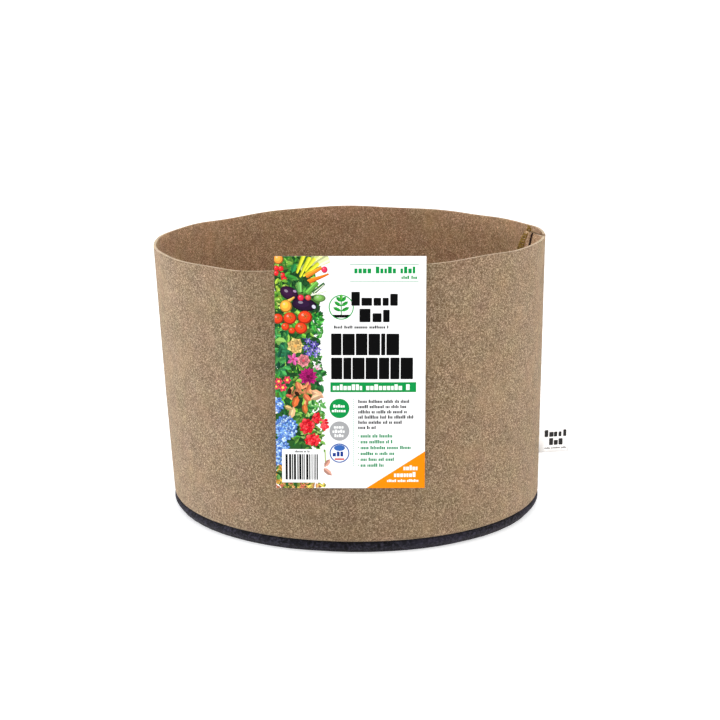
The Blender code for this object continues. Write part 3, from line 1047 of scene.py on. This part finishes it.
def draw_tomatoes(art):
    """Tomatoes with their stalks."""
    art.foliage(37, 57, 47, 81, 60, 5, ((60, 165, 60), (90, 190, 80), (30, 120, 50), (120, 205, 100)))
    art.foliage(-1, 68, 12, 84, 34, 6, ((60, 150, 80), (90, 180, 90), (30, 110, 60)))
    for x, y, size in (
        (3, 62.5, 5.6), (15, 62, 6.6), (30, 61, 7.2), (10.5, 70.5, 4.2), (17, 74.5, 3.4), (26, 72, 6.4),
    ):
        art.fruit(x, y, size, size * 0.93, (232, 62, 30))
        stalk_x, stalk_y = x + size * 0.1, y - size * 0.15
        art.flower(stalk_x, stalk_y, size * 0.45, 5, (70, 120, 50), (60, 90, 40), pointed=0.25)


def draw_pale_flowers(art):
    """A cream rose and small blue flowers."""
    art.leaf(6, 85.5, 12, 9, 0.2, (150, 205, 100))
    art.foliage(-1, 88, 14, 118, 40, 9, ((50, 130, 85), (70, 155, 80), (35, 100, 70)))
    art.flower(20.4, 90, 8.4, 7, (250, 205, 125), (235, 170, 90), rows=3, pointed=0.85)
    art.foliage(28, 82, 44, 99, 30, 5, ((50, 60, 110), (80, 70, 160), (60, 110, 60)))
    for x, y in ((33, 85), (39, 88), (31, 92), (37, 94), (43, 94), (34, 98), (41, 99)):
        art.flower(x, y, 3.6, 6, (125, 110, 205), (220, 210, 240), pointed=0.4)


def draw_pink_flowers(art):
    """Pink and red flowers."""
    art.foliage(34, 100, 46, 114, 26, 5, ((60, 130, 60), (110, 180, 90), (40, 95, 50)))
    art.flower(18, 103.5, 6.6, 5, (238, 100, 175), (200, 40, 120), pointed=0.6)
    art.flower(28.3, 104.8, 6.8, 7, (250, 145, 155), (215, 70, 90), rows=3, pointed=0.85)
    art.flower(42, 113, 4.4, 6, (250, 190, 205), (220, 120, 150), pointed=0.6)
    art.foliage(38, 116, 50, 134, 24, 8, ((45, 115, 60), (30, 80, 45), (70, 150, 70)))
    art.flower(32.8, 121, 9.6, 13, (190, 30, 120), (100, 10, 60), rows=3, pointed=0.42)
    art.foliage(-1, 118, 16, 142, 30, 7, ((60, 150, 70), (40, 110, 60)))
    for x, y, size in ((12, 124.6, 4.2), (3.4, 126, 4), (7.5, 132.3, 4.4), (0.8, 131.4, 3.4)):
        art.flower(x, y, size, 6, (230, 62, 92), (245, 205, 60), pointed=0.75)
        art.oval(x, y, size * 0.32, size * 0.32, (245, 215, 90), sides=8)


def draw_dry_leaves(art):
    """Fallen leaves in warm tones."""
    art.foliage(14, 128, 34, 148, 24, 8, ((220, 120, 80), (60, 40, 20), (235, 150, 100)))
    for x, y, length, turn, tone in (
        (23, 131, 11, 1.2, (225, 130, 85)), (32, 143.5, 12, 0.9, (235, 120, 80)),
        (42, 139, 15, 0.5, (240, 180, 140)), (20, 147, 13, 1.9, (235, 115, 60)),
        (13.5, 141, 7, 0.3, (230, 95, 75)), (29.5, 154, 11, 1.4, (215, 120, 60)),
        (41, 142, 13, -0.4, (238, 190, 150)), (16.6, 158, 13, 1.8, (235, 190, 140)),
        (13, 153, 9, 0.4, (225, 185, 120)),
    ):
        art.leaf(x, y, length, length * 0.55, turn, tone)
        art.leaf(x - 0.6, y - 0.4, length * 0.6, length * 0.2, turn, art.tinted(tone, 0.18))


def draw_flower_heads(art):
    """Round heads of blue and of red florets."""
    art.foliage(34, 146, 49, 162, 44, 5, ((110, 190, 100), (60, 150, 70), (150, 215, 130)))
    art.foliage(20, 158, 48, 196, 70, 6, ((80, 150, 60), (120, 180, 80), (35, 80, 35), (160, 200, 110)))
    blues = ((90, 130, 205), (130, 165, 225), (70, 105, 180), (165, 195, 240))
    for x, y, rx, ry in ((2, 150, 6, 8), (10, 173.5, 11.5, 12.5), (4.5, 193, 8.5, 9), (1.5, 206, 5, 12)):
        art.cluster(x, y, rx, ry, int(rx * ry * 0.75), 1.5, blues)
    reds = ((225, 40, 50), (240, 70, 75), (190, 20, 35))
    for x, y, rx, ry in (
        (31.5, 172, 7, 7), (41, 163.5, 4.4, 4.8), (49.3, 170.5, 3.4, 5.8), (37, 186, 7.6, 5.6),
    ):
        art.cluster(x, y, rx, ry, int(rx * ry * 0.6), 2.1, reds)


def draw_foot_of_strip(art):
    """Autumn leaves at the strip's foot."""
    art.foliage(-1, 214, 6, 232, 16, 6, ((90, 140, 70), (235, 190, 80), (225, 160, 70)))
    art.foliage(0, 230, 50, 236, 60, 5, ((235, 200, 90), (230, 170, 110), (215, 120, 90), (150, 160, 70)))
    art.taper(49.5, 196, 50, 214, 1.2, 1, (150, 175, 90))
    art.leaf(51.5, 210, 10, 5, 2.2, (225, 165, 145))
    art.leaf(52, 219, 12, 5.5, 0.7, (228, 170, 150))


def draw_barcode(art):
    art.box(6.1, 195.6, 48.1, 230.2, WHITE)
    art.words(19, 35, 196.9, 199, (90, 90, 90), 1.1, 5)
    x, chance = 9.6, random.Random(11)
    while x < 43.5:
        wide = chance.choice((0.8, 1.2, 1.2, 2.2))
        art.box(x, 200.8, x + wide, 227.2, BLACK)
        x += wide + chance.choice((0.7, 0.8, 1.3))


def draw_sprout_mark(art):
    """A generic seedling with three pairs of leaves, in a green ring."""
    art.ring(66, 51, 12.5, (40, 160, 70), 11.4, WHITE)
    art.add(((57, 58.5), (75, 58.5), (71.5, 61.4), (60.5, 61.4)), BLACK)
    art.box(65.5, 42, 66.5, 58.5, (40, 140, 60))
    for y, length, turn in ((55, 9, 0.45), (50, 8.5, 0.6), (45.5, 7, 0.8)):
        for side in (-1, 1):
            x = 66 + side * length * 0.5 * math.cos(turn)
            lean = turn if side < 0 else math.pi - turn
            art.leaf(x, y - length * 0.5 * math.sin(turn), length, 3.8, lean, (45, 165, 60))
    art.leaf(66, 41, 6, 3.4, math.pi / 2, (90, 190, 70))


def draw_blocks(art, top, bottom, spans):
    """A line of big plain blocks, each from x0 to x1."""
    for x0, x1 in spans:
        art.block(x0, top, x1, bottom, BLACK)


def draw_titles(art):
    """Greeked titles: blocks and bars where the words would be."""
    for y in (8, 25.2):
        art.box(74.7, y, 142.5, y + 0.55, (40, 150, 100))
    art.words(79, 142, 10.4, 17.2, GREEN, 3.9, 21)
    art.words(125.5, 141.5, 19.4, 22.8, GREEN, 1.9, 22)
    draw_blocks(art, 35.5, 49.5, ((76, 84.5),))
    draw_blocks(art, 41.5, 49.5, ((86, 96.5), (98, 105.5), (107, 113)))
    draw_blocks(art, 37.5, 49.5, ((114.5, 122),))
    draw_blocks(art, 52.5, 66, ((84, 95),))
    draw_blocks(art, 57, 66, ((97, 106),))
    draw_blocks(art, 53.5, 66, ((107.5, 114),))
    art.words(58.8, 114, 69.4, 72.4, (50, 50, 50), 1.7, 23)
    draw_blocks(art, 77.4, 99.4, ((55.8, 66.2), (80.4, 92), (105.6, 109.8)))
    draw_blocks(art, 77.6, 99.4, ((67.2, 79.4), (93, 104.6), (110.8, 123.6)))
    draw_blocks(art, 101.8, 123.8, ((55.8, 67), (68, 76), (77, 89.2), (90.2, 102.4)))
    draw_blocks(art, 101.8, 123.8, ((103.4, 113.8), (114.8, 124), (125, 137.5)))
    art.box(55, 126.8, 140.8, 137, GREEN)
    art.words(57.5, 138, 129, 134.8, WHITE, 3.6, 24)


def draw_badges(art):
    """Two discs and a ring with greeked print in them."""
    art.oval(64, 153.6, 10, 10, GREEN, sides=40)
    art.words(58, 71, 149.6, 152.6, WHITE, 2.2, 25)
    art.words(56.5, 72, 154.4, 157.4, WHITE, 2.2, 26)
    art.oval(64, 176.8, 10, 10, (165, 166, 168), sides=40)
    for y, x0, x1 in ((171, 58.5, 70), (175.4, 57, 71.5), (179.8, 59, 70)):
        art.words(x0, x1, y, y + 3.2, WHITE, 2.4, int(y))
    art.ring(64, 199.6, 10, (45, 90, 165), 8.8, WHITE)
    art.oval(64, 194.2, 5.6, 3.2, (60, 105, 180), sides=16)
    art.words(57.2, 71.5, 198, 203, (30, 60, 140), 3.9, 31)
    art.block(59, 205, 69, 206.6, (205, 45, 50))


def draw_small_print(art):
    """A dotted line, a greeked paragraph and a greeked list with its dots."""
    for k in range(35):
        art.box(77.6, 144 + 2 * k, 78.2, 145.3 + 2 * k, (90, 175, 140))
    for k, right in enumerate((135, 132, 133, 139, 127, 101)):
        y = 144.6 + 5.35 * k
        art.words(82.8, right, y, y + 3.5, (56, 56, 58), 1.5, 40 + k)
    for k, right in enumerate((120, 119, 137, 121, 120, 110)):
        y = 180 + 6.05 * k
        art.oval(83.1, y + 1.8, 0.6, 0.6, GREEN, sides=8)
        art.words(85.2, right, y, y + 3.6, (30, 140, 88), 1.6, 50 + k)


def draw_corner(art):
    """The orange corner with greeked print."""
    art.add(((91, 236), (150, 198), (150, 236)), (250, 140, 4))
    for y, x0, seed in ((212.5, 128.5, 61), (219.5, 119, 62)):
        art.words(x0, 144.5, y, y + 5, WHITE, 2.9, seed)
    art.words(112, 144.5, 227, 229.6, WHITE, 1.5, 63)


def card_artwork():
    art = Artwork(CARD_WIDTH / MM, CARD_HEIGHT / MM, WHITE, 3)
    draw_market_strip(art)
    draw_barcode(art)
    draw_sprout_mark(art)
    draw_titles(art)
    draw_badges(art)
    draw_small_print(art)
    draw_corner(art)
    return art


def tag_artwork(length):
    """The tag's front has greeked print; its back, past the fold, is plain."""
    art = Artwork(length / MM, TAG_HEIGHT / MM, (255, 255, 255), 4)
    left = TAG_ROOT_DEPTH / MM + FELT / MM
    for k, (wide, top) in enumerate(((4.6, 4.5), (5.4, 7), (4.2, 7), (3.6, 7), (3.8, 5))):
        x = left + 4.4 + k * 5.1
        art.block(x, top, x + wide * 0.88, 12.5, BLACK)
    for k, top in enumerate((14, 16.5, 14.8)):
        x = left + 9.5 + k * 5.2
        art.block(x, top, x + 4.4, 22, BLACK)
    art.words(left + 4.5, left + 29.5, 24.4, 26, (70, 70, 74), 1.0, 9)
    return art


# ---------------------------------------------------------------- tag, card and hook


def make_tag():
    """A woven ribbon folded into a loop, its ends caught in the side seam."""
    lift = lift_at(TAG_CENTRE_Z)
    outward = -wall_inward(SEAM_ANGLE, lift)
    sideways = wall_tangent(SEAM_ANGLE, lift)
    pivot = wall_point(SEAM_ANGLE, lift) + outward * (FELT / 2 + TAG_PIVOT_OUT)
    root = TAG_ROOT_DEPTH + FELT / 2 + TAG_PIVOT_OUT
    reach = root + TAG_LENGTH
    total = 2 * reach + math.pi * TAG_FOLD

    def bend(u, v):
        """u runs from the front layer's root out to the fold and back along the back layer."""
        if u < reach:
            along, side = u, -1.0
        elif u > total - reach:
            along, side = total - u, 1.0
        else:
            turn = (u - reach) / TAG_FOLD
            along, side = reach + TAG_FOLD * math.sin(turn), -math.cos(turn)
        out = along - root
        gap = TAG_FOLD * side
        height = TAG_CENTRE_Z + TAG_HEIGHT / 2 - v
        if out > 0:
            wave = 0.5 * MM * math.sin(out * 130 + v * 50) * smoothstep(0, TAG_LENGTH, out)
            place = pivot + outward * out + sideways * (gap + wave)
            return Vector((place.x, place.y, height + out * math.tan(TAG_TILT)))
        here = lift_at(height)
        inside = max(-out - TAG_PIVOT_OUT - FELT / 2, 0.0)
        if inside:
            place = flap_point(here, inside, -gap * 0.85)
        else:
            share = -out / (TAG_PIVOT_OUT + FELT / 2)
            place = (pivot + sideways * gap).lerp(wall_point(SEAM_ANGLE, here) + sideways * gap, share)
        return Vector((place.x, place.y, height))

    cuts = [k * total / MM / TAG_COLUMNS for k in range(1, TAG_COLUMNS)]
    cuts += [(reach + k * math.pi * TAG_FOLD / TAG_FOLD_STEPS) / MM for k in range(TAG_FOLD_STEPS + 1)]
    tag = new_object("woven_tag", printed_mesh("woven_tag", tag_artwork(total), bend, cuts), TAG_WEAVE)
    solidify(tag, TAG_LAYER, 0)
    tag.data.shade_smooth()
    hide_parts("seam_tag_root", "seam_tag")
    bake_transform(tag)


def label_frame():
    """The frame of the card's hook: y into the bag, z up the leaning wall, from the mouth's outer edge."""
    front_y = -(MOUTH_B + FELT / 2)
    lean = math.atan2(base_high.x + front_y, BAG_HEIGHT - FOOT_Z)
    turn = Matrix.Rotation(-lean, 4, "X")
    return Matrix.Translation((MOUTH_SHIFT + CARD_SHIFT, front_y, BAG_HEIGHT)) @ turn, lean


def hook_heights():
    """In the hook's frame: its top's height, how far in its inner leg is, and its crease's height."""
    _, lean = label_frame()
    hook_reach = HOOK_WIDTH / 2 + CARD_SHIFT
    wall_sag = hook_reach**2 * MOUTH_B / (2 * MOUTH_A**2)
    slope = MOUTH_RISE / 2 / MOUTH_A
    top = GAP + slope * hook_reach + HOOK_THICKNESS / 2
    inner = FELT + wall_sag + 2 * GAP + HOOK_THICKNESS / 2
    card_rim = slope * (CARD_WIDTH / 2 + CARD_SHIFT)
    over_rim = card_rim + CARD_ABOVE_RIM * math.tan(lean) + 2 * GAP
    return top, inner, max(top + HOOK_THICKNESS / 2 + CREASE_RISE, over_rim)


def make_card():
    """The printed card, which bows a little towards the wall at its sides."""
    frame_matrix, _ = label_frame()

    def bend(u, v):
        x = u - CARD_WIDTH / 2
        bow = CARD_BOW * (x / (CARD_WIDTH / 2)) ** 2 * smoothstep(0, CARD_HEIGHT, v)
        return frame_matrix @ Vector((x, -GAP - CARD_THICKNESS + bow, CARD_ABOVE_RIM - v))

    cuts = [k * CARD_WIDTH / MM / CARD_COLUMNS for k in range(1, CARD_COLUMNS)]
    mesh = printed_mesh("printed_card", card_artwork(), bend, cuts)
    card = new_object("printed_card", mesh, CARD_FACE, CARD_BACK)
    solid = solidify(card, CARD_THICKNESS, -1)
    solid.material_offset = 1
    solid.material_offset_rim = 1
    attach(card, "label")
    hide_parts("label_card")


def make_hook():
    """A folded paper strip that hangs over the mouth's edge, its tab glued to the card's back."""
    frame_matrix, _ = label_frame()
    top, inner, crease = hook_heights()
    behind_card = HOOK_THICKNESS / 2 + GAP
    path = [
        Vector((behind_card, crease + HOOK_TAB)),
        Vector((behind_card, crease + HOOK_TAB / 2)),
        Vector((behind_card, crease)),
        Vector((0.8 * MM, top + 0.5 * MM)),
        Vector((1.6 * MM, top)),
        Vector((inner - 1.6 * MM, top)),
        Vector((inner - 0.3 * MM, top - 0.6 * MM)),
        Vector((inner, top - 2.2 * MM)),
        Vector((inner + 0.4 * MM, top - 12 * MM)),
        Vector((inner, -HOOK_LEG * 0.6)),
        Vector((inner + 0.3 * MM, -HOOK_LEG)),
    ]
    line = spline(path, 4)
    columns = HOOK_COLUMNS
    verts, faces, lengths = [], [], [0.0]
    for a, b in zip(line, line[1:]):
        lengths.append(lengths[-1] + (b - a).length)
    for place in line:
        for k in range(columns + 1):
            x = HOOK_WIDTH * (k / columns - 0.5)
            verts.append(frame_matrix @ Vector((x, place.x, place.y)))
    for i in range(len(line) - 1):
        for k in range(columns):
            a = i * (columns + 1) + k
            faces.append((a, a + 1, a + columns + 2, a + columns + 1))
    mesh = mesh_of("paper_hook", verts, faces)
    layout = mesh.uv_layers.new(name="metres")
    for loop in mesh.loops:
        row, column = divmod(loop.vertex_index, columns + 1)
        layout.data[loop.index].uv = (HOOK_WIDTH * column / columns, lengths[row])
    hook = new_object("paper_hook", mesh, HOOK_PAPER)
    solidify(hook, HOOK_THICKNESS, 0)
    finish_smooth(hook, 50)
    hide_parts("label_hook", "label_hook_tab")
    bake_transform(hook)


# ---------------------------------------------------------------- stage


FLOOR_SIZE = 60
FLOOR_GLOW = 0.5
SKY = 0.9  # the sky's brightness overhead; at the horizon it is 1
LIT_HEIGHT = 0.15  # the softboxes point at the middle of the bag
SOFTBOXES = (  # name, place, size, power and tint
    ("left_softbox", (-2.1, 0.15, 0.18), 0.4, 34, (0.93, 1.0, 1.09)),
    ("right_softbox", (2.0, -0.3, 0.22), 0.4, 16, (0.98, 1.0, 1.0)),
    ("front_softbox", (0.9, -1.5, 2.0), 1.2, 32, (1.0, 1.0, 1.0)),
)
CAMERA_DISTANCE = 2.0
CAMERA_ELEVATION = math.radians(13.3)
CAMERA_LENS = 90.1
CAMERA_SENSOR = 36
CAMERA_SHIFT = (0.005, 0.014)
CAMERA_AIM_Z = 145 * MM


def make_floor():
    """A plain white floor that glows a little, so that it is as white as the sky behind it."""
    bpy.ops.mesh.primitive_plane_add(size=FLOOR_SIZE)
    floor = bpy.context.object
    floor.name = "studio_floor"
    paper, tree, shader = new_material("studio_paper", 0.9)
    fill_inputs(tree, shader, {
        "Base Color": (0.9, 0.9, 0.9, 1),
        "Emission Color": (1, 1, 1, 1),
        "Emission Strength": FLOOR_GLOW,
    })
    floor.data.materials.append(paper)


def make_sky():
    """A sky that is white at the horizon and dimmer above."""
    world = bpy.data.worlds.new("studio")
    bpy.context.scene.world = world
    world.use_nodes = True
    tree = world.node_tree
    direction = node(tree, "TexCoord").outputs["Generated"]
    height = node(tree, "SeparateXYZ", {0: direction}).outputs["Z"]
    sky = mix(tree, ramp(tree, height, 0.2, 0.5), (1, 1, 1, 1), (SKY, SKY, SKY, 1))
    fill_inputs(tree, tree.nodes["Background"], {"Color": sky, "Strength": 1.0})


def make_softboxes():
    for name, place, size, power, tint in SOFTBOXES:
        data = bpy.data.lights.new(name, "AREA")
        data.shape = "SQUARE"
        data.size = size
        data.energy = power
        data.color = tint
        lamp = bpy.data.objects.new(name, data)
        bpy.context.scene.collection.objects.link(lamp)
        lamp.location = place
        aim = Vector((0, 0, LIT_HEIGHT)) - Vector(place)
        lamp.rotation_euler = aim.to_track_quat("-Z", "Y").to_euler()


def light_the_print():
    """The front softbox falls on the card and the tag only."""
    lit = bpy.data.collections.new("lit_by_front_softbox")
    for name in ("printed_card", "woven_tag"):
        lit.objects.link(bpy.data.objects[name])
    bpy.data.objects["front_softbox"].light_linking.receiver_collection = lit


def make_camera():
    data = bpy.data.cameras.new("camera")
    data.lens = CAMERA_LENS
    data.sensor_width = CAMERA_SENSOR
    data.shift_x, data.shift_y = CAMERA_SHIFT
    camera = bpy.data.objects.new("camera", data)
    bpy.context.scene.collection.objects.link(camera)
    aim = Vector((0, 0, CAMERA_AIM_Z))
    back = Vector((0, -math.cos(CAMERA_ELEVATION), math.sin(CAMERA_ELEVATION)))
    camera.location = aim + back * CAMERA_DISTANCE
    camera.rotation_euler = (math.pi / 2 - CAMERA_ELEVATION, 0, 0)
    bpy.context.scene.camera = camera


FUZZ = colour(236, 226, 210)
FELT_TAN = felt_material(
    "felt_tan", fleck=0.9, sheen=0.22,
    middle=colour(178, 154, 125), light=colour(226, 210, 184),
    dark=colour(107, 85, 63), warm=colour(159, 130, 99),
)
# The bag's inner face: the same tan felt painted much lighter, as painted light on the inside, where the
# lamps reach little
FELT_INSIDE_PAINTED_LIGHT = felt_material(
    "felt_inside_painted_light", fleck=1.0, sheen=0.12,
    middle=colour(243, 207, 168), light=colour(255, 244, 216),
    dark=colour(164, 126, 94), warm=colour(214, 168, 124),
)
# The cut edges: the same felt painted nearly cream, a painted highlight along the rim and the flap's edges
FELT_CUT_PAINTED_HIGHLIGHT = felt_material(
    "felt_cut_edge_painted_highlight",
    middle=colour(250, 230, 200), light=colour(255, 250, 232),
    dark=colour(218, 192, 160), warm=colour(238, 212, 178),
)
FELT_CHARCOAL = felt_material(
    "felt_charcoal", sheen=0.05, fineness=0.5,
    middle=colour(52, 50, 62), light=colour(160, 160, 178),
    dark=colour(16, 15, 20), warm=colour(62, 57, 74),
)
THREAD_GOLD = thread_material("thread_gold", colour(186, 146, 62), colour(74, 52, 16))
THREAD_DARK = thread_material("thread_brown", colour(66, 38, 20), colour(28, 14, 8))
TAG_WEAVE = weave_material("tag_weave", colour(254, 254, 254), colour(236, 236, 238))
CARD_FACE = paper_material(
    "card_face", colour(250, 250, 250), roughness=0.45, mottle=0.03, gloss=0.05, printed=True, strength=0.86
)
CARD_BACK = paper_material("card_back", colour(232, 230, 226), roughness=0.7, mottle=0.05)
HOOK_PAPER = paper_material("hook_paper", colour(214, 208, 196), roughness=0.75, mottle=0.08)

make_floor()
make_sky()
make_softboxes()
make_camera()
make_wall()
make_base()
make_base_chain_stitch()
make_base_overlock()
make_side_chain_stitch()
make_side_overlock()
make_tag()
make_card()
make_hook()
light_the_print()

bpy.context.scene.view_settings.view_transform = "Standard"
